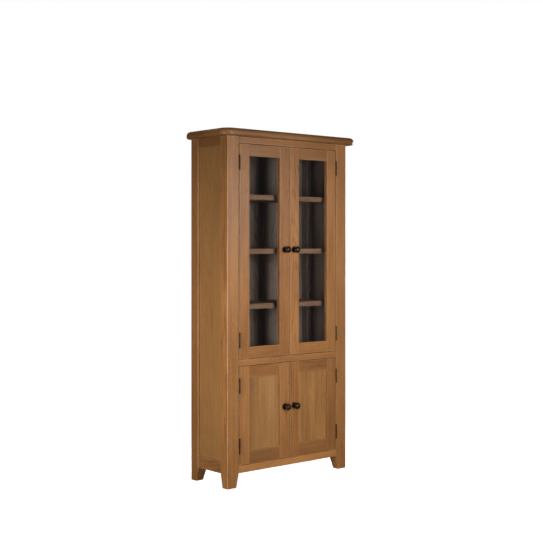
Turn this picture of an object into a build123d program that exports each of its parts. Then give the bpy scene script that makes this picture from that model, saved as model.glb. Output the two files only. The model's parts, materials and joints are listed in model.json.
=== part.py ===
from build123d import *
import os

# Tall oak cabinet: a pair of glazed doors over a pair of panelled doors, in a frame of posts
# and rails. Millimetres. The origin is on the floor, under the middle of the top board.
# +Z is up, -Y is the front and +X is the right as seen from the front.

# ---------------------------------------------------------------- overall sizes
height = 1800.0
body_width = 820.0
body_depth = 306.0
side_overhang = 47.0
front_overhang = 49.0

front = (front_overhang - body_depth) / 2
back = front + body_depth
left = -body_width / 2

# ---------------------------------------------------------------- top board
top_thickness = 37.0
top_corner_round = 60.0
top_back_trim = 16.0
top_nose_upper = 20.0
top_nose_lower = 10.0
under_top = height - top_thickness

# ---------------------------------------------------------------- posts and feet
front_post = (73.5, 57.0)
back_post = (62.0, 60.0)
foot_height = 71.0
foot_taper = 16.5
post_ease = 2.5
foot_ease = 2.0
post_inner_front = left + front_post[0]
post_inner_back = left + back_post[0]
post_rear = front + front_post[1]
back_post_face = back - back_post[1]

# ---------------------------------------------------------------- rails and joints
rail_thickness = 22.0
rail_ease = 1.5
tenon_thickness = 8.0
tenon_length = 25.0
tenon_shoulder = 6.0
apron_top = 108.5
mid_rail = (609.0, 641.0)
frieze_bottom = 1730.5
side_rail_setback = 2.0
side_rail_thickness = 24.0
side_bottom_rail_top = 129.0
side_top_rail_bottom = 1718.0
back_rail_setback = 2.0
groove_depth = 8.0
groove_guard = 4.0

# ---------------------------------------------------------------- side panels and back boards
panel_recess = 12.0
panel_thickness = 12.0
panel_outer = left + panel_recess
panel_inner = panel_outer + panel_thickness
side_rail_inner = left + side_rail_setback + side_rail_thickness
board_count = 7
board_thickness = 8.0
board_setback = 8.0
board_gap = 0.4
board_tongue = (5.0, 2.6)
board_tongue_play = 0.2
board_vee = 1.5
boards_front = back - board_setback - board_thickness
back_rail_face = back - back_rail_setback - rail_thickness

# ---------------------------------------------------------------- shelves
floor_thickness = 18.0
divider_thickness = 22.0
divider_bottom = (mid_rail[0] + mid_rail[1] - divider_thickness) / 2
shelf_thickness = 26.0
shelf_setback = 59.0
shelf_play = 1.0
shelf_centres = {"shelf_top": 1464.0, "shelf_middle": 1185.0, "shelf_bottom": 902.0, "shelf_lower": 356.0}
notch_play = 1.5
shelf_ease = 2.0
pin_radius = 2.5
pin_collar = (4.0, 0.8)
pin_reach = 14.0
pin_hole_depth = 8.0
pin_hole_play = 0.1
pin_inset = (32.0, 26.0)
pin_columns = (post_rear + pin_inset[0], back_post_face - pin_inset[1])
pin_hole_pitch = 40.0

# ---------------------------------------------------------------- doors
door_gap = 3.0
door_thickness = 22.0
door_ease = 1.5
stile_width = 65.0
door_left = post_inner_front + door_gap
door_right = -door_gap / 2
door_back = front + door_thickness
opening_left = door_left + stile_width
opening_right = door_right - stile_width
door_lip = 9.0
rebate_width = 8.0
glass_thickness = 4.0
pane_play = 1.0
door_panel_thickness = 6.0
door_tenon_length = 35.0
bead_round = 4.0
bead_mitre_gap = 0.2

# "z" is the bottom and top of the door, "rails" the heights of its bottom and top rails, "knob" the
# height of its knob, and "hinge" the distance from each end to the middle of a hinge
doors = {
    "upper": {"z": (644.0, 1727.5), "rails": (58.0, 59.0), "knob": 1194.0, "hinge": 95.0},
    "lower": {"z": (111.5, 606.0), "rails": (64.5, 59.0), "knob": 378.0, "hinge": 96.0},
}

# ---------------------------------------------------------------- hinges
hinge_length = 76.0
hinge_knuckles = 5
knuckle_gap = 0.25
knuckle_radius = 4.0
leaf_thickness = 1.4
leaf_depth = 20.0
leaf_start = 0.1
pin_shaft = 1.5
pin_running = 0.06
pin_fixed = 0.02
pin_head = (3.0, 1.6)
barrel_stand_off = 4.2
barrel_x = (post_inner_front + door_left) / 2
barrel_y = front - barrel_stand_off

# ---------------------------------------------------------------- knobs
knob_inset = 30.5
knob_x = door_right - knob_inset
knob_projection = 42.0
knob_radius = 17.5
knob_neck = 6.0
knob_waist = (5.4, 10.0)
knob_shoulder = (8.5, 20.0)
knob_rim = (15.8, 25.6)
knob_edge = 31.0
rose_radius = 16.5
rose_thickness = 3.0
rose_chamfer = 1.2
rose_play = 0.1
screw_radius = 2.0
screw_play = 0.2
screw_grip = 9.0
screw_hole_play = 0.1
screw_hole_spare = 1.0
screw_head = (4.5, 2.4)

# ---------------------------------------------------------------- catches
catch_size = (56.0, 17.0, 24.0)
catch_gap = 0.4
catch_ease = 1.0
strike_size = (20.0, 1.5, 12.0)
strike_inset = 3.0
strike_rise = 3.0


# ================================================================ helpers
def block(low, high, mode=Mode.ADD):
    """Box between two opposite corners, added to the part being built."""
    size = [b - a for a, b in zip(low, high)]
    with Locations(low):
        Box(*size, align=(Align.MIN, Align.MIN, Align.MIN), mode=mode)


def spread(low, high, amount):
    """Range widened by the same amount at both ends."""
    return low - amount, high + amount


def mirrored(piece):
    """The same piece on the other side of the cabinet."""
    with BuildPart() as twin:
        mirror(piece.part, about=Plane.YZ)
    return twin


def on_both_sides(piece):
    """The piece and its mirror image, as separate solids of one group."""
    with BuildPart() as group:
        add(piece.part)
        mirror(about=Plane.YZ)
    return group


# ================================================================ carcass
def make_top_board():
    """Board with rounded corners and a round nose. Its back is cut square, through the back corners."""
    width = body_width + 2 * side_overhang
    nose = front - front_overhang
    uncut_back = back + top_back_trim
    with BuildPart() as board:
        with BuildSketch(Plane(origin=(0, (nose + uncut_back) / 2, under_top))):
            RectangleRounded(width, uncut_back - nose, radius=top_corner_round)
        extrude(amount=top_thickness)
        fillet(board.faces().sort_by(Axis.Z)[-1].edges(), top_nose_upper)
        fillet(board.faces().sort_by(Axis.Z)[0].edges(), top_nose_lower)
        block((-width / 2, back, under_top), (width / 2, uncut_back, height), mode=Mode.SUBTRACT)
    return board


def make_front_rail(bottom, top):
    """Rail of the face frame between the front posts, tenoned into both."""
    tenon_front = front + (rail_thickness - tenon_thickness) / 2
    reach = -post_inner_front + tenon_length
    with BuildPart() as rail:
        block((post_inner_front, front, bottom), (-post_inner_front, front + rail_thickness, top))
        fillet(rail.edges().filter_by(Axis.X), rail_ease)
        block(
            (-reach, tenon_front, bottom + tenon_shoulder),
            (reach, tenon_front + tenon_thickness, top - tenon_shoulder),
        )
    return rail


def make_side_rail(bottom, top, groove_at_top):
    """Left side rail, tenoned into both posts and grooved for the side panel."""
    outer = left + side_rail_setback
    tenon_outer = outer + (side_rail_thickness - tenon_thickness) / 2
    tenon_z = [bottom + tenon_shoulder, top - tenon_shoulder]
    if groove_at_top:
        tenon_z[1] = top - groove_depth - groove_guard
        groove_z = (top - groove_depth, top)
    else:
        tenon_z[0] = bottom + groove_depth + groove_guard
        groove_z = (bottom, bottom + groove_depth)
    with BuildPart() as rail:
        block((outer, post_rear, bottom), (side_rail_inner, back_post_face, top))
        fillet(rail.edges().filter_by(Axis.Y), rail_ease)
        block(
            (tenon_outer, post_rear - tenon_length, tenon_z[0]),
            (tenon_outer + tenon_thickness, back_post_face + tenon_length, tenon_z[1]),
        )
        block(
            (panel_outer, post_rear, groove_z[0]),
            (panel_inner, back_post_face, groove_z[1]),
            mode=Mode.SUBTRACT,
        )
    return rail


def make_back_rail():
    """Rail between the back posts, grooved on top for the back boards."""
    tenon_face = back_rail_face + (rail_thickness - tenon_thickness) / 2
    reach = -post_inner_back + tenon_length
    groove_bottom = side_bottom_rail_top - groove_depth
    with BuildPart() as rail:
        block(
            (post_inner_back, back_rail_face, foot_height),
            (-post_inner_back, back_rail_face + rail_thickness, side_bottom_rail_top),
        )
        fillet(rail.edges().filter_by(Axis.X), rail_ease)
        block(
            (-reach, tenon_face, foot_height + tenon_shoulder),
            (reach, tenon_face + tenon_thickness, groove_bottom - groove_guard),
        )
        block(
            (post_inner_back, boards_front, groove_bottom),
            (-post_inner_back, boards_front + board_thickness, side_bottom_rail_top),
            mode=Mode.SUBTRACT,
        )
    return rail


def pin_heights(centre):
    """Height of the pin under a shelf."""
    return centre - shelf_thickness / 2 - pin_radius


def make_side_panel():
    """Left side panel, held in grooves, with blind holes for the shelf pins."""
    panel_z = (side_bottom_rail_top - groove_depth, side_top_rail_bottom + groove_depth)
    panel_y = spread(post_rear, back_post_face, groove_depth)
    with BuildPart() as panel:
        block((panel_outer, panel_y[0], panel_z[0]), (panel_inner, panel_y[1], panel_z[1]))
        with BuildSketch(Plane.YZ.offset(panel_inner)):
            for centre in shelf_centres.values():
                for step in (-1, 0, 1):
                    hole_z = pin_heights(centre) + step * pin_hole_pitch
                    with Locations(*[(y, hole_z) for y in pin_columns]):
                        Circle(pin_radius + pin_hole_play)
        extrude(amount=-pin_hole_depth, mode=Mode.SUBTRACT)
    return panel


def make_back_boards():
    """Upright boards, tongued and grooved, standing in the back rail and the back posts."""
    edges = spread(post_inner_back, -post_inner_back, groove_depth)
    pitch = (edges[1] - edges[0]) / board_count
    bottom = side_bottom_rail_top - groove_depth
    centre_y = boards_front + board_thickness / 2
    tongue_length, tongue_thickness = board_tongue
    with BuildPart() as boards:
        with BuildSketch(Plane.XY.offset(bottom)) as profile:
            centres = [(edges[0] + pitch * (i + 0.5), centre_y) for i in range(board_count)]
            with Locations(*centres):
                Rectangle(pitch - board_gap, board_thickness)
            chamfer(profile.vertices(), board_vee)
            joints = [edges[0] + pitch * (i + 1) for i in range(board_count - 1)]
            with Locations(*[(x + board_gap / 2, centre_y) for x in joints]):
                Rectangle(
                    tongue_length + 2 * board_tongue_play,
                    tongue_thickness + 2 * board_tongue_play,
                    align=(Align.MIN, Align.CENTER),
                    mode=Mode.SUBTRACT,
                )
            with Locations(*[(x - board_gap / 2, centre_y) for x in joints]):
                Rectangle(tongue_length, tongue_thickness, align=(Align.MIN, Align.CENTER))
        extrude(amount=under_top - bottom)
    return boards


def make_boards_room():
    """Envelope of the back boards, for the grooves that hold them."""
    reach = groove_depth - post_inner_back
    bottom = side_bottom_rail_top - groove_depth
    with BuildPart() as room:
        block((-reach, boards_front, bottom), (reach, boards_front + board_thickness, under_top))
    return room


def make_post(size, outer_y, inward, fitted):
    """Left post: square above, tapered on its two inner faces below, cut for what fits into it."""
    foot = (size[0] - foot_taper, size[1] - foot_taper)
    with BuildPart() as post:
        for level, section in ((foot_height, size), (0.0, foot)):
            centre = (left + section[0] / 2, outer_y + inward * section[1] / 2, level)
            with BuildSketch(Plane(origin=centre)):
                RectangleRounded(*section, radius=post_ease)
        loft()
        centre = (left + size[0] / 2, outer_y + inward * size[1] / 2, foot_height)
        with BuildSketch(Plane(origin=centre)):
            RectangleRounded(*size, radius=post_ease)
        extrude(amount=under_top - foot_height)
        fillet(post.faces().sort_by(Axis.Z)[0].edges(), foot_ease)
        for piece in fitted:
            add(piece.part, mode=Mode.SUBTRACT)
    return post


def make_board(half_width, board_front, board_back, bottom, thickness, ease=0.0, play=0.0):
    """Level board between the sides, notched round any post that it reaches."""
    corners = (
        (post_inner_front + play, post_rear + play, True),
        (post_inner_back + play, back_post_face - play, False),
    )
    with BuildPart() as board:
        block((-half_width, board_front, bottom), (half_width, board_back, bottom + thickness))
        if ease > 0:
            nose = board.faces().sort_by(Axis.Y)[0]
            fillet(nose.edges().filter_by(Axis.X), ease)
        for notch_x, notch_y, at_front in corners:
            reach = (front, notch_y) if at_front else (notch_y, back)
            for side in (-1, 1):
                span = sorted((side * -notch_x, side * body_width / 2))
                block(
                    (span[0], reach[0], bottom),
                    (span[1], reach[1], bottom + thickness),
                    mode=Mode.SUBTRACT,
                )
    return board


def make_shelf_pins():
    """Collared pins in the side panels, four under each loose shelf."""
    collar_radius, collar_length = pin_collar
    with BuildPart() as pins:
        for centre in shelf_centres.values():
            spots = [(y, pin_heights(centre)) for y in pin_columns]
            for side in (-1, 1):
                inner = side * -panel_inner
                into = side * (pin_hole_depth - pin_hole_play)
                with BuildSketch(Plane.YZ.offset(inner + into)):
                    with Locations(*spots):
                        Circle(pin_radius)
                extrude(amount=-into - side * pin_reach)
                with BuildSketch(Plane.YZ.offset(inner)):
                    with Locations(*spots):
                        Circle(collar_radius)
                extrude(amount=-side * collar_length)
    return pins


# ================================================================ doors
def make_door_pocket(door, depth):
    """Room for the glass or the panel: the opening and a rebate all round it."""
    low, high = door["z"]
    bottom_rail, top_rail = door["rails"]
    x = spread(opening_left, opening_right, rebate_width)
    z = spread(low + bottom_rail, high - top_rail, rebate_width)
    with BuildPart() as pocket:
        block((x[0], front + door_lip, z[0]), (x[1], front + door_lip + depth, z[1]))
    return pocket


def make_door_rail(bottom, top, tenon_z, pocket):
    """Door rail, tenoned into both stiles."""
    tenon_front = front + (door_thickness - tenon_thickness) / 2
    tenon_x = spread(opening_left, opening_right, door_tenon_length)
    with BuildPart() as rail:
        block((opening_left, front, bottom), (opening_right, door_back, top))
        fillet(rail.edges().filter_by(Axis.X), door_ease)
        add(pocket.part, mode=Mode.SUBTRACT)
        block(
            (tenon_x[0], tenon_front, tenon_z[0]),
            (tenon_x[1], tenon_front + tenon_thickness, tenon_z[1]),
        )
    return rail


def make_stile(x, z, fitted, bolt_height=None):
    """Door stile, cut for the rails, for the glass or panel, and for the knob's screw."""
    with BuildPart() as stile:
        block((x[0], front, z[0]), (x[1], door_back, z[1]))
        fillet(stile.edges().filter_by(Axis.Z), door_ease)
        for piece in fitted:
            add(piece.part, mode=Mode.SUBTRACT)
        if bolt_height is not None:
            with BuildSketch(Plane(origin=(knob_x, front, bolt_height), z_dir=(0, 1, 0))):
                Circle(screw_radius + screw_play)
            extrude(amount=door_thickness, mode=Mode.SUBTRACT)
    return stile


def make_pane(door, thickness):
    """Glass or panel that fills the opening and most of the rebate round it."""
    low, high = door["z"]
    bottom_rail, top_rail = door["rails"]
    cover = rebate_width - pane_play
    x = spread(opening_left, opening_right, cover)
    z = spread(low + bottom_rail, high - top_rail, cover)
    with BuildPart() as pane:
        block((x[0], front + door_lip, z[0]), (x[1], front + door_lip + thickness, z[1]))
    return pane


def make_beads(door):
    """Four mitred glazing beads behind the glass, flush with the back of the door."""
    low, high = door["z"]
    bottom_rail, top_rail = door["rails"]
    opening_z = (low + bottom_rail, high - top_rail)
    x = spread(opening_left, opening_right, rebate_width)
    z = spread(*opening_z, rebate_width)
    bead_front = front + door_lip + glass_thickness
    with BuildPart() as beads:
        block((x[0], bead_front, z[0]), (x[1], door_back, z[1]))
        block(
            (opening_left, bead_front, opening_z[0]),
            (opening_right, door_back, opening_z[1]),
            mode=Mode.SUBTRACT,
        )
        inner_edges = beads.faces().sort_by(Axis.Y)[-1].inner_wires()[0].edges()
        fillet(inner_edges, bead_round)
        saw_cut = (3 * rebate_width, door_thickness, bead_mitre_gap)
        for corner_x, corner_z, mitre_angle in (
            (x[0], z[0], -45),
            (x[1], z[1], -45),
            (x[0], z[1], 45),
            (x[1], z[0], 45),
        ):
            with Locations((corner_x, (bead_front + door_back) / 2, corner_z)):
                Box(*saw_cut, rotation=(0, mitre_angle, 0), mode=Mode.SUBTRACT)
    return beads


def make_knob(height_above_floor):
    """Turned knob, the loose rose round its neck, and the screw that holds it from behind."""
    spot = (knob_x, front, height_above_floor)
    turning_plane = Plane(origin=spot, x_dir=(1, 0, 0), z_dir=(0, 0, -1))
    turning_axis = Axis(spot, (0, -1, 0))
    crown_rise = knob_projection - knob_edge
    crown_radius = (knob_radius**2 + crown_rise**2) / (2 * crown_rise)
    with BuildPart() as knob:
        with BuildSketch(turning_plane):
            with BuildLine():
                base = Line((0, 0), (knob_neck, 0))
                stem = ThreePointArc(base @ 1, knob_waist, knob_shoulder)
                rim = ThreePointArc(stem @ 1, knob_rim, (knob_radius, knob_edge))
                crown = RadiusArc(rim @ 1, (0, knob_projection), -crown_radius)
                Line(crown @ 1, base @ 0)
            make_face()
        revolve(axis=turning_axis)
        with BuildSketch(Plane(origin=spot, z_dir=(0, -1, 0))):
            Circle(screw_radius + screw_hole_play)
        extrude(amount=screw_grip + screw_hole_spare, mode=Mode.SUBTRACT)
    with BuildPart() as rose:
        with BuildSketch(turning_plane) as section:
            with Locations((knob_neck + rose_play, 0)):
                Rectangle(
                    rose_radius - knob_neck - rose_play,
                    rose_thickness,
                    align=(Align.MIN, Align.MIN),
                )
            outer_front = section.vertices().sort_by(lambda v: v.X - v.Y)[-1]
            chamfer(outer_front, rose_chamfer)
        revolve(axis=turning_axis)
    with BuildPart() as screw:
        with BuildSketch(Plane(origin=(knob_x, front - screw_grip, height_above_floor), z_dir=(0, 1, 0))):
            Circle(screw_radius)
        extrude(amount=screw_grip + door_thickness)
        with BuildSketch(Plane(origin=(knob_x, door_back, height_above_floor), z_dir=(0, 1, 0))):
            Circle(screw_head[0])
        extrude(amount=screw_head[1])
        fillet(screw.faces().sort_by(Axis.Y)[-1].edges(), screw_head[1] / 2)
    with BuildPart() as fitting:
        add(knob.part)
        add(rose.part)
        add(screw.part)
    return fitting


def make_door_frame(door, pane_depth):
    """The two stiles and two rails of a left-hand door."""
    low, high = door["z"]
    bottom_rail, top_rail = door["rails"]
    pocket = make_door_pocket(door, pane_depth)
    clear = rebate_width + groove_guard
    opening_low = low + bottom_rail
    opening_high = high - top_rail
    lower_tenon = (low + tenon_shoulder, opening_low - clear)
    upper_tenon = (opening_high + clear, high - tenon_shoulder)
    lower = make_door_rail(low, opening_low, lower_tenon, pocket)
    upper = make_door_rail(opening_high, high, upper_tenon, pocket)
    cuts = (pocket, lower, upper)
    return {
        "bottom_rail": lower,
        "top_rail": upper,
        "hinge_stile": make_stile((door_left, opening_left), door["z"], cuts),
        "meeting_stile": make_stile((opening_right, door_right), door["z"], cuts, door["knob"]),
    }


# ================================================================ hinges and catches
def hinge_heights(door):
    """Heights of the middle of a door's two hinges."""
    low, high = door["z"]
    return low + door["hinge"], high - door["hinge"]


def make_leaves(heights, plate, own_knuckles, bore):
    """Hinge leaves on one side of the gap, each with its own knuckles of the barrel."""
    pitch = hinge_length / hinge_knuckles
    plate_front = front + leaf_start
    with BuildPart() as leaves:
        for centre in heights:
            foot = centre - hinge_length / 2
            block((plate[0], plate_front, foot), (plate[1], plate_front + leaf_depth, foot + hinge_length))
            for index in own_knuckles:
                low = foot + index * pitch + knuckle_gap / 2
                high = low + pitch - knuckle_gap
                block((plate[0], barrel_y, low), (plate[1], plate_front, high))
                with BuildSketch(Plane(origin=(barrel_x, barrel_y, low))):
                    Circle(knuckle_radius)
                extrude(amount=high - low)
            with BuildSketch(Plane(origin=(barrel_x, barrel_y, foot))):
                Circle(bore)
            extrude(amount=hinge_length, mode=Mode.SUBTRACT)
    return leaves


def make_hinge_pins(heights):
    """Pins through the barrels, with a low button head at each end."""
    head_radius, head_length = pin_head
    with BuildPart() as pins:
        for centre in heights:
            foot = centre - hinge_length / 2
            for low, radius, length in (
                (foot, pin_shaft, hinge_length),
                (foot + knuckle_gap / 2 - head_length, head_radius, head_length),
                (foot + hinge_length - knuckle_gap / 2, head_radius, head_length),
            ):
                with BuildSketch(Plane(origin=(barrel_x, barrel_y, low))):
                    Circle(radius)
                extrude(amount=length)
    return pins


def strike_z(name, door):
    """Height range of the strike plate at the end of the door beside the divider."""
    low, high = door["z"]
    if name == "upper":
        return low + strike_rise, low + strike_rise + strike_size[2]
    return high - strike_rise - strike_size[2], high - strike_rise


def make_strike(name, door):
    """Steel plate on the back of a left-hand door, near its meeting edge."""
    z = strike_z(name, door)
    right = door_right - strike_inset
    with BuildPart() as strike:
        block((right - strike_size[0], door_back, z[0]), (right, door_back + strike_size[1], z[1]))
        fillet(strike.edges().filter_by(Axis.Y), strike_size[1])
    return strike


def make_catches():
    """Double magnetic catches, one standing on the divider and one hanging under it."""
    width, depth, tall = catch_size
    face = door_back + strike_size[1] + catch_gap
    with BuildPart() as catches:
        for foot in (divider_bottom + divider_thickness, divider_bottom - tall):
            block((-width / 2, face, foot), (width / 2, face + depth, foot + tall))
        fillet(catches.edges().filter_by(Axis.Y), catch_ease)
    return catches


# ================================================================ build
# Pieces of the left half are made once and mirrored. The rest lie across the middle.
left_pieces = {}
middle_pieces = {}

middle_pieces["top_board"] = make_top_board()
middle_pieces["front_top_rail"] = make_front_rail(frieze_bottom, under_top)
middle_pieces["front_mid_rail"] = make_front_rail(*mid_rail)
middle_pieces["front_bottom_rail"] = make_front_rail(foot_height, apron_top)
front_rails = [middle_pieces[f"front_{place}_rail"] for place in ("top", "mid", "bottom")]

left_pieces["side_top_rail_left"] = make_side_rail(side_top_rail_bottom, under_top, groove_at_top=False)
left_pieces["side_bottom_rail_left"] = make_side_rail(foot_height, side_bottom_rail_top, groove_at_top=True)
left_pieces["side_panel_left"] = make_side_panel()
side_pieces = list(left_pieces.values())

middle_pieces["back_bottom_rail"] = make_back_rail()
middle_pieces["back_boards"] = make_back_boards()
back_pieces = [middle_pieces["back_bottom_rail"], make_boards_room()]

left_pieces["post_front_left"] = make_post(front_post, front, 1, front_rails + side_pieces)
left_pieces["post_back_left"] = make_post(back_post, back, -1, back_pieces + side_pieces)

middle_pieces["floor_board"] = make_board(
    -side_rail_inner, door_back, back_rail_face, apron_top - floor_thickness, floor_thickness
)
middle_pieces["divider_board"] = make_board(
    -panel_inner, door_back, boards_front, divider_bottom, divider_thickness
)
for name, centre in shelf_centres.items():
    middle_pieces[name] = make_board(
        -panel_inner - shelf_play,
        front + shelf_setback,
        boards_front - shelf_play,
        centre - shelf_thickness / 2,
        shelf_thickness,
        ease=shelf_ease,
        play=notch_play,
    )
middle_pieces["shelf_pins"] = make_shelf_pins()
middle_pieces["magnetic_catches"] = make_catches()

for level, door in doors.items():
    prefix = f"{level}_left_"
    if level == "upper":
        frame = make_door_frame(door, door_thickness - door_lip)
        left_pieces[prefix + "glass"] = make_pane(door, glass_thickness)
        left_pieces[prefix + "glazing_beads"] = make_beads(door)
    else:
        frame = make_door_frame(door, door_panel_thickness)
        left_pieces[prefix + "panel"] = make_pane(door, door_panel_thickness)
    for name, piece in frame.items():
        left_pieces[prefix + name] = piece
    left_pieces[prefix + "knob"] = make_knob(door["knob"])
    left_pieces[prefix + "hinge_leaves"] = make_leaves(
        hinge_heights(door), (door_left - leaf_thickness, door_left), (1, 3), pin_shaft + pin_running
    )
    left_pieces[prefix + "strike"] = make_strike(level, door)

all_hinges = hinge_heights(doors["upper"]) + hinge_heights(doors["lower"])
frame_plate = (post_inner_front, post_inner_front + leaf_thickness)
frame_leaves = make_leaves(all_hinges, frame_plate, (0, 2, 4), pin_shaft + pin_fixed)
middle_pieces["frame_hinge_leaves"] = on_both_sides(frame_leaves)
middle_pieces["hinge_pins"] = on_both_sides(make_hinge_pins(all_hinges))

pieces = dict(middle_pieces)
for name, piece in left_pieces.items():
    pieces[name] = piece
    pieces[name.replace("left", "right")] = mirrored(piece)

# ================================================================ export
os.makedirs("parts", exist_ok=True)
for name, piece in pieces.items():
    piece.part.label = name
    export_step(piece.part, f"parts/{name}.step")
print(len(pieces), "pieces")
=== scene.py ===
import json
import math
import random

import bpy
from mathutils import Euler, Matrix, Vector


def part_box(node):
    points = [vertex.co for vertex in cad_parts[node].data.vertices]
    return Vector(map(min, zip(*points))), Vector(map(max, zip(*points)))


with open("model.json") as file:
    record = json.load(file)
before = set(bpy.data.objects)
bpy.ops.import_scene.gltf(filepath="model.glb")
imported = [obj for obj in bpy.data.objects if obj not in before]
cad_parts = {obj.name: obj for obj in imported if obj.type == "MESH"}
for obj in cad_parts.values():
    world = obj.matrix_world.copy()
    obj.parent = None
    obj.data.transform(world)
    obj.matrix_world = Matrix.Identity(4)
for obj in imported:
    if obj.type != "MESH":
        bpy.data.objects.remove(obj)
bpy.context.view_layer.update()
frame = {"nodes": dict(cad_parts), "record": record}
cad = frame["nodes"]
slot_of = {part["node"]: part["material_slot"] for part in frame["record"]["subparts"]}

# ---------------------------------------------------------------- camera
# The camera stands level, to the front left of the cabinet. Its place is measured from the foot of
# the front left corner of the body: to the left, to the front, and up from the floor.
CAMERA_LEFT = 3.272
CAMERA_FRONT = 4.190
CAMERA_HEIGHT = 1.216
CAMERA_TURN = 40.35
CAMERA_LENS = 70.8
CAMERA_SENSOR = 36.0
CAMERA_SHIFT_Y = -0.0482

# ---------------------------------------------------------------- oak
OAK_DARK = (0.120, 0.040, 0.010)
OAK_BROWN = (0.270, 0.104, 0.027)
OAK_MID = (0.395, 0.166, 0.046)
OAK_LIGHT = (0.520, 0.246, 0.082)
OAK_WORN = (0.600, 0.330, 0.140)
RING_WIDTH = 0.0046
BUMP_DEPTH = 0.0004
# The edges along the door gaps are painted darker than the faces, as painted shade in the gaps, to this
# depth.
EDGE_SKIN = 0.0006
GAP_PAINTED_SHADE = 0.85
# The side panels are quieter than the rest: how much of the oak's contrast is left round its middle.
QUIET = 0.35
MIDDLE = 0.50
# Panels are a little yellower than the rails and stiles: this multiplies their colour.
YELLOWER = (0.98, 1.10, 1.21)
# The grey wash inside the cabinet: what it makes of the wood's own grey, and how much of it the
# boards that lie level have, next to the walls' 1.
WASH_TINT = (1.44, 1.12, 0.90)
LEVEL_WASH = 0.55
INSIDE = ("back_boards", "shelf_", "divider_board", "floor_board")
# Chooses the places in the log that the pieces are cut from.
LOG_SEED = 11

# Which row axes run across, through and along the grain of each kind of piece.
UPRIGHT = "xyz"
ALONG_X = "zyx"
ALONG_Y = "zxy"
SIDE_PANEL = "yxz"
LEVEL_BOARD = "yzx"
# The width of the staves that wide boards are glued up from. The other is wider than any piece.
STAVE = 0.092
ONE_STAVE = 5.0
BACK_BOARD_COUNT = 7


class Nodes:
    """Short calls that add shader nodes to one node tree."""

    def __init__(self, tree):
        self.tree = tree

    def add(self, kind, inputs=None, **settings):
        node = self.tree.nodes.new(kind)
        for name, value in settings.items():
            setattr(node, name, value)
        for name, value in (inputs or {}).items():
            self.put(node.inputs[name], value)
        return node

    def put(self, socket, value):
        if isinstance(value, bpy.types.NodeSocket):
            self.tree.links.new(value, socket)
        else:
            socket.default_value = value

    def math(self, operation, *values, clamp=False):
        node = self.add("ShaderNodeMath", dict(enumerate(values)), operation=operation)
        node.use_clamp = clamp
        return node.outputs[0]

    def vector(self, operation, *values):
        node = self.add("ShaderNodeVectorMath", dict(enumerate(values)), operation=operation)
        return node.outputs[0]

    def join(self, x, y, z):
        return self.add("ShaderNodeCombineXYZ", {0: x, 1: y, 2: z}).outputs[0]

    def split(self, vector):
        return self.add("ShaderNodeSeparateXYZ", {0: vector}).outputs

    def noise(self, vector, scale, detail=2.0, roughness=0.5, output="Fac"):
        values = {"Vector": vector, "Scale": scale, "Detail": detail, "Roughness": roughness}
        return self.add("ShaderNodeTexNoise", values).outputs[output]

    def between(self, value, low, high, to_low=0.0, to_high=1.0):
        node = self.add(
            "ShaderNodeMapRange",
            {0: value, 1: low, 2: high, 3: to_low, 4: to_high},
            interpolation_type="SMOOTHSTEP",
        )
        return node.outputs[0]

    def mix(self, factor, first, second, blend="MIX"):
        node = self.add("ShaderNodeMix", {0: factor, 6: first, 7: second}, data_type="RGBA")
        node.blend_type = blend
        return node.outputs[2]

    def ramp(self, value, stops):
        node = self.add("ShaderNodeValToRGB", {0: value})
        elements = node.color_ramp.elements
        while len(elements) < len(stops):
            elements.new(0.5)
        for element, (position, colour) in zip(elements, stops):
            element.position = position
            element.color = (*colour, 1.0)
        return node.outputs[0]

    def bump(self, height, strength, distance):
        values = {"Height": height, "Strength": strength, "Distance": distance}
        return self.add("ShaderNodeBump", values).outputs[0]


# ---------------------------------------------------------------- what each oak piece is like
def grain_axes(name):
    """Across, through and along the grain of an oak piece, by what it is."""
    if name.startswith("side_panel"):
        return SIDE_PANEL
    if name.startswith("side_"):
        return ALONG_Y
    if name.endswith("_rail"):
        return ALONG_X
    if name.startswith("shelf_") or name in ("top_board", "floor_board", "divider_board"):
        return LEVEL_BOARD
    return UPRIGHT


def stave_width(name):
    """Wide boards are glued up from staves. The back is separate boards."""
    if name == "back_boards":
        low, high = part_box(name)
        return (high.x - low.x) / BACK_BOARD_COUNT
    wide = ("side_panel", "top_board", "shelf_", "floor_board", "divider_board")
    return STAVE if name.startswith(wide) or name.endswith("_panel") else ONE_STAVE


# How light a piece is next to plain oak, by its own name or by how its name ends. The rails under the
# top are darker partly for their own tone and partly as painted shade from the top's overhang.
TONES_AND_SHADE = {
    "top_board": 0.78,
    # Painted shade, beside their own tone: the front top rail, the side top rails and the upper doors'
    # top rails, under the top's overhang.
    "front_top_rail": 0.84,
    "front_mid_rail": 1.08,
    "front_bottom_rail": 1.20,
    "side_top_rail_left": 0.60,
    "side_top_rail_right": 0.60,
    "side_bottom_rail_left": 0.78,
    "side_bottom_rail_right": 0.78,
    "top_rail": 0.77,
    "lower_left_top_rail": 0.98,
    "lower_right_top_rail": 0.80,
    "bottom_rail": 1.05,
    "lower_left_bottom_rail": 0.70,
    "lower_right_bottom_rail": 0.80,
    "back_boards": 1.10,
    "lower_right_panel": 1.21,
    "lower_left_panel": 0.98,
    "post_back_left": 0.76,
    "post_back_right": 0.90,
    "shelf_top": 1.10,
    "shelf_middle": 1.14,
    "shelf_bottom": 1.02,
}


def tint_of(name):
    """What multiplies a piece's colour: its own tone or its kind's, and the panels' hue."""
    kinds = [tone for kind, tone in TONES_AND_SHADE.items() if name.endswith(kind)]
    tone = TONES_AND_SHADE.get(name, kinds[0] if kinds else 1.0)
    hue = YELLOWER if name.startswith("side_panel") or name.endswith("_panel") else (1.0, 1.0, 1.0)
    return tuple(tone * part for part in hue)


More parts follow.
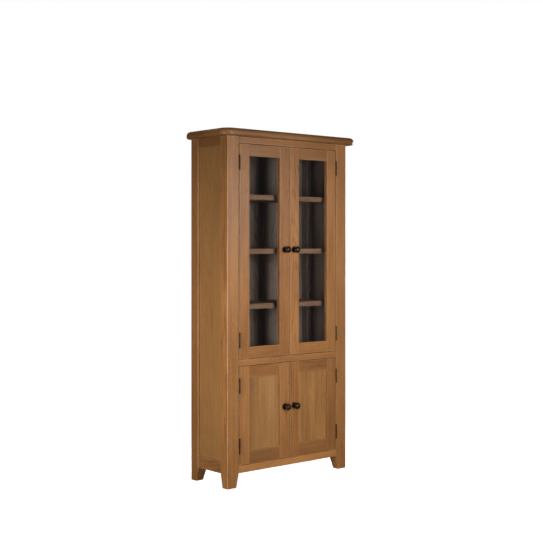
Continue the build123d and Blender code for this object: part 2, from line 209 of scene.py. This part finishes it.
def washed_space():
    """The hollow of the cabinet, out to the middle of its thin walls. What faces it is washed."""
    left_low, left_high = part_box("side_panel_left")
    right_low, right_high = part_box("side_panel_right")
    back_low, back_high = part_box("back_boards")
    rear_of_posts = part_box("post_front_left")[1].y
    floor_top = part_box("floor_board")[0].z
    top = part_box("top_board")[0].z
    low = Vector(((left_low.x + left_high.x) / 2, rear_of_posts - 0.001, floor_top))
    high = Vector(((right_low.x + right_high.x) / 2, (back_low.y + back_high.y) / 2, top))
    return low, high


# ---------------------------------------------------------------- oak shader
def make_oak_group():
    """Oak in a board's own axes: X across the face, Y through the board, Z along the grain.

    Growth rings are circles round a pith that leans a little away from Z, so that a face cut near
    them shows arches. Wide boards are glued up from staves, each cut from another log.
    """
    group = bpy.data.node_groups.new("oak", "ShaderNodeTree")
    sockets = group.interface
    sockets.new_socket("Position", in_out="INPUT", socket_type="NodeSocketVector")
    sockets.new_socket("Centre", in_out="INPUT", socket_type="NodeSocketVector")
    sockets.new_socket("Half size", in_out="INPUT", socket_type="NodeSocketVector")
    sockets.new_socket("Tint", in_out="INPUT", socket_type="NodeSocketColor")
    for name in ("Seed", "Stave", "Wear", "Wash", "Figure"):
        sockets.new_socket(name, in_out="INPUT", socket_type="NodeSocketFloat")
    sockets.new_socket("Color", in_out="OUTPUT", socket_type="NodeSocketColor")
    sockets.new_socket("Roughness", in_out="OUTPUT", socket_type="NodeSocketFloat")
    sockets.new_socket("Normal", in_out="OUTPUT", socket_type="NodeSocketVector")
    n = Nodes(group)
    given = n.add("NodeGroupInput").outputs
    across, through, along = n.split(given["Position"])

    # staves: a number for each, and three random numbers from it
    place = n.math("DIVIDE", across, given["Stave"])
    stave = n.math("FLOOR", place)
    key = n.math("ADD", n.math("MULTIPLY", stave, 7.13), n.math("MULTIPLY", given["Seed"], 3.71))
    chance = n.add("ShaderNodeTexWhiteNoise", {"W": key}, noise_dimensions="1D").outputs["Color"]
    chance_x, chance_y, chance_z = n.split(chance)

    # the pith: somewhere beside the board and behind it, leaning
    lean_x = n.math("MULTIPLY", n.math("SUBTRACT", chance_z, 0.5), 0.05)
    lean_y = n.math("MULTIPLY", n.math("SUBTRACT", chance_x, 0.5), 0.07)
    offset_x = n.math("MULTIPLY_ADD", chance_x, 0.12, -0.06)
    offset_y = n.math("MULTIPLY_ADD", chance_y, 0.07, 0.03)
    log_x = n.math("MULTIPLY_ADD", along, lean_x, n.math("ADD", across, offset_x))
    log_y = n.math("MULTIPLY_ADD", along, lean_y, n.math("ADD", through, offset_y))
    log_z = n.math("MULTIPLY_ADD", chance_z, 9.0, along)
    log = n.join(log_x, log_y, log_z)

    # slow and quick wander of the rings
    slow = n.noise(n.vector("MULTIPLY", log, (1.0, 1.0, 0.16)), 9.0, 2.0, output="Color")
    quick = n.noise(n.vector("MULTIPLY", log, (1.0, 1.0, 0.08)), 75.0, 2.0, output="Color")
    wander = n.vector("MULTIPLY", n.vector("SUBTRACT", slow, (0.5, 0.5, 0.5)), (0.030, 0.030, 0.0))
    tremor = n.vector("MULTIPLY", n.vector("SUBTRACT", quick, (0.5, 0.5, 0.5)), (0.0022, 0.0022, 0.0))
    bent = n.vector("ADD", n.vector("ADD", log, wander), tremor)
    bent_x, bent_y, _ = n.split(bent)
    radius = n.math("SQRT", n.math("MULTIPLY_ADD", bent_x, bent_x, n.math("MULTIPLY", bent_y, bent_y)))
    ring = n.math("FRACT", n.math("DIVIDE", radius, RING_WIDTH))
    early = n.math("SUBTRACT", 1.0, n.between(ring, 0.0, 0.42))
    early = n.math("MAXIMUM", early, n.between(ring, 0.86, 1.0))

    # pores, fibres, streaks and blotches, all long with the grain
    grain = n.vector("MULTIPLY", log, (1.0, 1.0, 0.030))
    pore = n.between(n.noise(grain, 820.0, 1.0), 0.54, 0.68)
    pore = n.math("MULTIPLY", pore, n.math("MULTIPLY_ADD", early, 0.75, 0.25))
    fibre = n.noise(n.vector("MULTIPLY", log, (1.0, 1.0, 0.018)), 2100.0, 2.0)
    streak = n.noise(n.vector("MULTIPLY", log, (1.0, 1.0, 0.050)), 62.0, 3.0, 0.6)
    blotch = n.noise(n.vector("MULTIPLY", log, (1.0, 1.0, 0.40)), 6.5, 2.0)
    ray = n.noise(n.vector("MULTIPLY", log, (1.0, 4.0, 0.22)), 420.0, 0.0)
    fleck = n.math("MULTIPLY", n.between(ray, 0.64, 0.76), 0.15)

    tint = n.math("MULTIPLY_ADD", early, -0.15, 0.60)
    for value, weight in ((streak, 0.62), (blotch, 0.50), (fibre, 0.22), (chance_y, 0.20)):
        tint = n.math("MULTIPLY_ADD", n.math("SUBTRACT", value, 0.5), weight, tint)
    tint = n.math("MULTIPLY_ADD", pore, -0.36, tint)
    tint = n.math("ADD", tint, fleck)
    # a quiet board's colour stays near the middle of the oak's
    tint = n.math("MULTIPLY_ADD", n.math("SUBTRACT", tint, MIDDLE), given["Figure"], MIDDLE, clamp=True)
    stops = ((0.0, OAK_DARK), (0.34, OAK_BROWN), (0.60, OAK_MID), (1.0, OAK_LIGHT))
    wood = n.ramp(tint, stops)
    wood = n.mix(1.0, wood, given["Tint"], blend="MULTIPLY")

    # fine dark glue lines between staves
    within = n.math("SUBTRACT", place, stave)
    side = n.math("MULTIPLY", n.math("MINIMUM", within, n.math("SUBTRACT", 1.0, within)), given["Stave"])
    glue = n.math("SUBTRACT", 1.0, n.between(side, 0.0, 0.0007))
    wood = n.mix(n.math("MULTIPLY", glue, 0.45), wood, (*OAK_DARK, 1.0))

    # wear along the board's edges: the second nearest of its three pairs of faces is close by
    from_centre = n.vector("ABSOLUTE", n.vector("SUBTRACT", given["Position"], given["Centre"]))
    depth_x, depth_y, depth_z = n.split(n.vector("SUBTRACT", from_centre, given["Half size"]))
    low = n.math("MINIMUM", depth_x, depth_y)
    high = n.math("MINIMUM", n.math("MAXIMUM", depth_x, depth_y), depth_z)
    nearness = n.math("MAXIMUM", low, high)
    ragged = n.noise(given["Position"], 60.0, 4.0, 0.65)
    nearness = n.math("MULTIPLY_ADD", n.math("SUBTRACT", ragged, 0.5), 0.008, nearness)
    edge = n.math("MULTIPLY", n.between(nearness, -0.0048, -0.0004), given["Wear"])
    wood = n.mix(n.math("MULTIPLY", edge, 0.42), wood, (*OAK_WORN, 1.0))

    # grey wash, dull and a little chalky, that leaves the grain showing
    pale = n.add("ShaderNodeRGBToBW", {0: wood}).outputs[0]
    chalk = n.vector("MULTIPLY", n.join(pale, pale, pale), WASH_TINT)
    wood = n.mix(given["Wash"], wood, chalk)

    rough = n.math("MULTIPLY_ADD", pore, 0.20, 0.40)
    rough = n.math("MULTIPLY_ADD", given["Wash"], 0.32, rough)
    rough = n.math("MULTIPLY_ADD", n.math("SUBTRACT", streak, 0.5), 0.16, rough)
    rough = n.math("MULTIPLY_ADD", edge, 0.08, rough)

    height = n.math("MULTIPLY_ADD", pore, -0.80, 0.8)
    height = n.math("MULTIPLY_ADD", early, -0.10, height)
    height = n.math("MULTIPLY_ADD", fibre, 0.16, height)
    height = n.math("MULTIPLY_ADD", glue, -0.50, height)

    result = n.add("NodeGroupOutput").inputs
    n.put(result["Color"], wood)
    n.put(result["Roughness"], rough)
    n.put(result["Normal"], n.bump(height, 0.5, BUMP_DEPTH))
    return group


def beside_gap(n, node, x):
    """1 on a front post's or a stile's upright edges, which face a gap or the glass, and 0 elsewhere."""
    low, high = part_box(node)
    if node.endswith("_stile"):
        from_middle = n.math("ABSOLUTE", n.math("SUBTRACT", x, (low.x + high.x) / 2))
        return n.math("GREATER_THAN", from_middle, (high.x - low.x) / 2 - EDGE_SKIN)
    if node.startswith("post_front"):
        nearest = min(abs(low.x), abs(high.x))
        return n.math("LESS_THAN", n.math("ABSOLUTE", x), nearest + EDGE_SKIN)
    return 0.0


def wash_on(n, node, place):
    """How much grey wash a piece has: all that faces the inside has it, and nothing else."""
    low, high = washed_space()
    reach = n.vector("DIVIDE", n.vector("SUBTRACT", place, (low + high) / 2), (high - low) / 2)
    reach_x, reach_y, reach_z = n.split(n.vector("ABSOLUTE", reach))
    furthest = n.math("MAXIMUM", n.math("MAXIMUM", reach_x, reach_y), reach_z)
    strength = LEVEL_WASH if grain_axes(node) == LEVEL_BOARD else 1.0
    return n.math("MULTIPLY", n.math("LESS_THAN", furthest, 1.0), strength)


def new_material(name):
    """An empty node material: its nodes and its output."""
    material = bpy.data.materials.new(name)
    material.use_nodes = True
    material.node_tree.nodes.clear()
    nodes = Nodes(material.node_tree)
    return material, nodes, nodes.add("ShaderNodeOutputMaterial")


def reorder(vector, axes):
    """The vector's components in the order that axes names."""
    return tuple(vector["xyz".index(axis)] for axis in axes)


def oak_material(group, node, seed):
    """Oak laid along one CAD piece, whose box gives its edges."""
    material, n, output = new_material(f"oak_{node}")
    axes = grain_axes(node)
    inside = node.startswith(INSIDE)
    low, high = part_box(node)
    centre = reorder((low + high) / 2, axes)
    half = reorder((high - low) / 2, axes)
    place = n.add("ShaderNodeTexCoord").outputs["Object"]
    parts = n.split(place)
    turned = n.join(*reorder(parts, axes))
    oak = n.add("ShaderNodeGroup", node_tree=group)
    values = {
        "Position": turned,
        "Centre": centre,
        "Half size": half,
        "Seed": seed,
        "Tint": (*tint_of(node), 1.0),
        "Stave": stave_width(node),
        "Wear": 0.5 if inside else 1.0,
        "Wash": wash_on(n, node, place),
        "Figure": QUIET if node.startswith("side_panel") else 1.0,
    }
    for key, value in values.items():
        n.put(oak.inputs[key], value)
    # Painted shade: the upright edges beside the door gaps and the glass are darkened towards dark oak.
    gap_shade = n.math("MULTIPLY", beside_gap(n, node, parts[0]), GAP_PAINTED_SHADE)
    shader = n.add(
        "ShaderNodeBsdfPrincipled",
        {
            "Base Color": n.mix(gap_shade, oak.outputs["Color"], (*OAK_DARK, 1.0)),
            "Roughness": oak.outputs["Roughness"],
            "Normal": oak.outputs["Normal"],
            "Specular IOR Level": 0.08 if inside else 0.50,
            "Coat Weight": 0.0 if inside else 0.22,
            "Coat Roughness": 0.34,
        },
    )
    n.put(output.inputs["Surface"], shader.outputs[0])
    return material


# ---------------------------------------------------------------- other materials
def bronze_material(name, dark, rubbed, roughness):
    """Dark antique bronze: mottled patina, a little lighter where it is rubbed."""
    material, n, output = new_material(name)
    place = n.add("ShaderNodeTexCoord").outputs["Object"]
    mottle = n.noise(place, 420.0, 4.0, 0.6)
    cloud = n.noise(place, 90.0, 3.0, 0.6)
    colour = n.mix(n.between(cloud, 0.35, 0.75), (*dark, 1.0), (*rubbed, 1.0))
    colour = n.mix(n.between(mottle, 0.55, 0.75, 0.0, 0.5), colour, (*dark, 1.0))
    rough = n.between(mottle, 0.3, 0.7, roughness - 0.08, roughness + 0.14)
    shader = n.add(
        "ShaderNodeBsdfPrincipled",
        {
            "Base Color": colour,
            "Roughness": rough,
            "Normal": n.bump(n.math("ADD", mottle, cloud), 0.35, 0.0003),
            "Metallic": 0.75,
        },
    )
    n.put(output.inputs["Surface"], shader.outputs[0])
    return material


def metal_material(name, colour, roughness):
    """Plain bright metal with fine brushing along X."""
    material, n, output = new_material(name)
    place = n.add("ShaderNodeTexCoord").outputs["Object"]
    brushing = n.noise(n.vector("MULTIPLY", place, (0.04, 1.0, 1.0)), 3200.0, 2.0)
    dull = n.noise(place, 260.0, 3.0, 0.6)
    darker = tuple(0.6 * value for value in colour)
    tint = n.mix(n.between(dull, 0.4, 0.75), (*colour, 1.0), (*darker, 1.0))
    rough = n.between(brushing, 0.3, 0.7, roughness - 0.06, roughness + 0.10)
    shader = n.add(
        "ShaderNodeBsdfPrincipled",
        {
            "Base Color": tint,
            "Roughness": rough,
            "Normal": n.bump(brushing, 0.25, 0.0001),
            "Metallic": 1.0,
        },
    )
    n.put(output.inputs["Surface"], shader.outputs[0])
    return material


def plastic_material(name, colour):
    """Moulded plastic with a fine spark-eroded grain."""
    material, n, output = new_material(name)
    place = n.add("ShaderNodeTexCoord").outputs["Object"]
    grain = n.noise(place, 2400.0, 2.0)
    cloud = n.noise(place, 140.0, 2.0)
    lighter = tuple(1.5 * value for value in colour)
    tint = n.mix(n.between(cloud, 0.3, 0.8, 0.0, 0.6), (*colour, 1.0), (*lighter, 1.0))
    shader = n.add(
        "ShaderNodeBsdfPrincipled",
        {
            "Base Color": tint,
            "Roughness": n.between(grain, 0.3, 0.7, 0.42, 0.60),
            "Normal": n.bump(grain, 0.3, 0.0001),
        },
    )
    n.put(output.inputs["Surface"], shader.outputs[0])
    return material


def glass_material():
    """Clear sheet glass, faintly wavy and smudged, that lets lamps light what is behind it."""
    material, n, output = new_material("sheet_glass")
    place = n.add("ShaderNodeTexCoord").outputs["Object"]
    wave = n.noise(n.vector("MULTIPLY", place, (1.0, 1.0, 0.5)), 9.0, 1.0)
    smudge = n.noise(place, 22.0, 5.0, 0.65)
    glass = n.add(
        "ShaderNodeBsdfPrincipled",
        {
            "Base Color": (0.92, 0.92, 0.92, 1.0),
            "Roughness": n.between(smudge, 0.5, 0.8, 0.0, 0.02),
            "Normal": n.bump(wave, 0.12, 0.002),
            "Transmission Weight": 1.0,
            "IOR": 1.5,
        },
    )
    open_way = n.add("ShaderNodeBsdfTransparent", {"Color": (0.94, 0.94, 0.94, 1.0)})
    lamp_ray = n.add("ShaderNodeLightPath").outputs["Is Shadow Ray"]
    choose = n.add("ShaderNodeMixShader", {0: lamp_ray, 1: glass.outputs[0], 2: open_way.outputs[0]})
    n.put(output.inputs["Surface"], choose.outputs[0])
    return material


# ---------------------------------------------------------------- dressing the pieces
def dress_cad():
    """A material on every CAD piece."""
    oak = make_oak_group()
    shared = {
        "glass": glass_material(),
        "dark_bronze": bronze_material(
            "dark_bronze", dark=(0.016, 0.010, 0.006), rubbed=(0.070, 0.040, 0.022), roughness=0.40
        ),
        "brass": metal_material("brass", (0.60, 0.42, 0.19), 0.34),
        "steel": metal_material("zinc_steel", (0.56, 0.56, 0.55), 0.30),
        "catch_plastic": plastic_material("brown_plastic", (0.050, 0.028, 0.017)),
    }
    chance = random.Random(LOG_SEED)
    for name in sorted(cad):
        slot = slot_of[name]
        if slot == "oak":
            material = oak_material(oak, name, chance.uniform(0.0, 40.0))
        else:
            material = shared[slot]
        for material_slot in cad[name].material_slots:
            material_slot.material = material


dress_cad()


# ---------------------------------------------------------------- studio
FLOOR_REACH = 40.0


def point_at(piece, target):
    """Turns a lamp or camera so that it looks at a point."""
    direction = Vector(target) - piece.location
    piece.rotation_euler = direction.to_track_quat("-Z", "Y").to_euler()


def all_but_glass():
    """A collection for the lamps that leaves out the panes, so that no lamp shows in them."""
    collection = bpy.data.collections.new("all but glass")
    for name in sorted(cad):
        if slot_of[name] == "glass":
            collection.objects.link(cad[name])
    for member in collection.collection_objects:
        member.light_linking.link_state = "EXCLUDE"
    return collection


def add_softbox(lit, name, place, target, size, power, spread=180.0):
    """
    A rectangular area lamp that lights what the collection lit doesn't exclude. The spread is the
    full angle that its grid lets through, in degrees.
    """
    lamp = bpy.data.lights.new(name, "AREA")
    lamp.shape = "RECTANGLE"
    lamp.size, lamp.size_y = size
    lamp.energy = power
    lamp.spread = math.radians(spread)
    softbox = bpy.data.objects.new(name, lamp)
    softbox.location = place
    softbox.light_linking.receiver_collection = lit
    bpy.context.scene.collection.objects.link(softbox)
    point_at(softbox, target)
    return softbox


def add_camera():
    """Level camera at the front left, with a small shift so that it needn't tilt."""
    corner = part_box("post_front_left")[0]
    camera = bpy.data.cameras.new("camera")
    camera.lens = CAMERA_LENS
    camera.sensor_width = CAMERA_SENSOR
    camera.shift_y = CAMERA_SHIFT_Y
    holder = bpy.data.objects.new("camera", camera)
    holder.location = (corner.x - CAMERA_LEFT, corner.y - CAMERA_FRONT, CAMERA_HEIGHT)
    holder.rotation_euler = Euler((math.radians(90.0), 0.0, math.radians(-CAMERA_TURN)))
    bpy.context.scene.collection.objects.link(holder)
    bpy.context.scene.camera = holder


def add_floor():
    """Pale floor. It glows a little, more with distance, so that it meets the white behind it."""
    far = FLOOR_REACH
    mesh = bpy.data.meshes.new("floor")
    corners = [(-far, -far, 0.0), (far, -far, 0.0), (far, far, 0.0), (-far, far, 0.0)]
    mesh.from_pydata(corners, [], [(0, 1, 2, 3)])
    floor = bpy.data.objects.new("floor", mesh)
    bpy.context.scene.collection.objects.link(floor)
    material, n, output = new_material("pale_floor")
    place = n.add("ShaderNodeTexCoord").outputs["Object"]
    distance = n.add("ShaderNodeVectorMath", {0: place}, operation="LENGTH").outputs["Value"]
    grain = n.noise(place, 3.0, 3.0)
    pale, greyer = (0.80, 0.80, 0.80, 1.0), (0.70, 0.70, 0.70, 1.0)
    colour = n.mix(n.between(grain, 0.3, 0.7, 0.0, 0.06), pale, greyer)
    shader = n.add(
        "ShaderNodeBsdfPrincipled",
        {
            "Base Color": colour,
            "Roughness": 0.9,
            "Emission Color": (1.0, 1.0, 1.0, 1.0),
            "Emission Strength": n.between(distance, 0.2, 1.0, 0.90, 1.0),
        },
    )
    n.put(output.inputs["Surface"], shader.outputs[0])
    mesh.materials.append(material)
    # Its glow is kept from the cabinet. Seen through a pane, the floor is missing too.
    floor.visible_diffuse = False
    floor.visible_glossy = False
    floor.visible_transmission = False


def add_world():
    """White behind the cabinet, and a dimmer, even light from all round."""
    world = bpy.data.worlds.new("studio")
    bpy.context.scene.world = world
    world.use_nodes = True
    world.node_tree.nodes.clear()
    n = Nodes(world.node_tree)
    around = n.add("ShaderNodeBackground", {"Color": (1.0, 0.98, 0.96, 1.0), "Strength": 0.045})
    behind = n.add("ShaderNodeBackground", {"Color": (1.0, 1.0, 1.0, 1.0), "Strength": 1.0})
    seen = n.add("ShaderNodeLightPath").outputs["Is Camera Ray"]
    choose = n.add("ShaderNodeMixShader", {0: seen, 1: around.outputs[0], 2: behind.outputs[0]})
    output = n.add("ShaderNodeOutputWorld")
    n.put(output.inputs["Surface"], choose.outputs[0])


add_camera()
add_floor()
add_world()
lit = all_but_glass()
# Key, low and fill make the photograph's light, and sheen only adds gloss to it.
add_softbox(lit, "key", (-0.42, -2.30, 1.20), (0.0, -0.13, 1.12), (0.85, 1.1), 8.2, spread=75.0)
add_softbox(lit, "low", (-0.60, -2.20, 0.18), (0.05, -0.13, 0.02), (1.2, 0.3), 1.2, spread=42.0)
add_softbox(lit, "fill", (-3.20, -0.70, 0.80), (-0.40, 0.02, 0.72), (1.0, 1.2), 9.0, spread=60.0)
sheen = add_softbox(lit, "sheen", (1.10, -2.35, 1.55), (-0.3, -0.13, 1.40), (0.36, 0.6), 9.0)
sheen.visible_diffuse = False
sheen.visible_transmission = False
# The last two light the sides that the photograph doesn't show.
add_softbox(lit, "right side", (3.0, 0.62, 1.15), (0.41, 0.03, 0.95), (1.2, 1.6), 10.0, spread=60.0)
overhead = add_softbox(
    lit, "back and top", (0.5, 2.3, 2.9), (0.0, 0.17, 1.1), (1.8, 1.2), 17.0, spread=60.0
)
overhead.visible_glossy = False
bpy.context.scene.view_settings.view_transform = "Standard"
